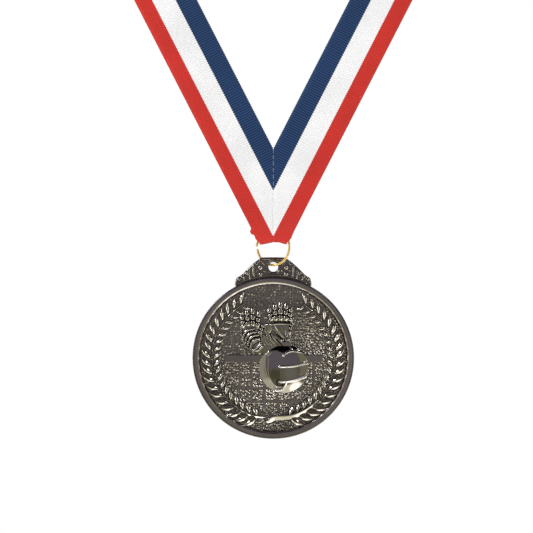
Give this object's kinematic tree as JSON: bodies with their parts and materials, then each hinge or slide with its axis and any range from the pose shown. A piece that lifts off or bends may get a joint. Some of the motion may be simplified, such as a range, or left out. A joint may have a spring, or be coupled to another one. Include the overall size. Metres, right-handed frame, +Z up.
{
  "type": "sports medal on neck ribbon",
  "caption": "Round die-cast sports medal with a volleyball, net and laurel wreath in relief, hanging by a jump ring from a striped V-shaped neck ribbon.",
  "frame": {"origin": "middle of the ribbon at the nape of the neck, where the wearer or a hook carries it", "axes": "+Z up, -Y the way the medal's face looks, +X to the right of someone looking at the face"},
  "size_m": [0.2058, 0.1398, 0.3052],
  "materials": {
    "gunmetal_plate": "polished black-nickel plate on a zinc casting, stippled in the field",
    "gold_wire": "bright gold-coloured wire",
    "ribbon_weave": "ribbed grosgrain, red, white and blue bands",
    "thread": "spun polyester thread"
  },
  "bodies": {
    "ribbon": {"neck_ribbon": "ribbon_weave", "mitre_stitching": "thread"},
    "tip": {"ribbon_tip": "ribbon_weave", "fold_stitching": "thread"},
    "ring": {"jump_ring": "gold_wire"},
    "medal": {"medal_casting": "gunmetal_plate"}
  },
  "joints": [
    {"name": "tip_bend", "type": "hinge", "parent": "ribbon", "child": "tip", "pos_m": [0, -0.13, -0.202], "axis": [1, 0, 0], "range_deg": [-75, 75]},
    {"name": "ring_turn", "type": "hinge", "parent": "tip", "child": "ring", "pos_m": [0, -0.13, -0.2182], "axis": [0.5, 0.866, 0], "continuous": true},
    {"name": "medal_sway", "type": "hinge", "parent": "tip", "child": "medal", "pos_m": [0, -0.13, -0.2262], "axis": [0, 1, 0], "range_deg": [-50, 50]}
  ]
}
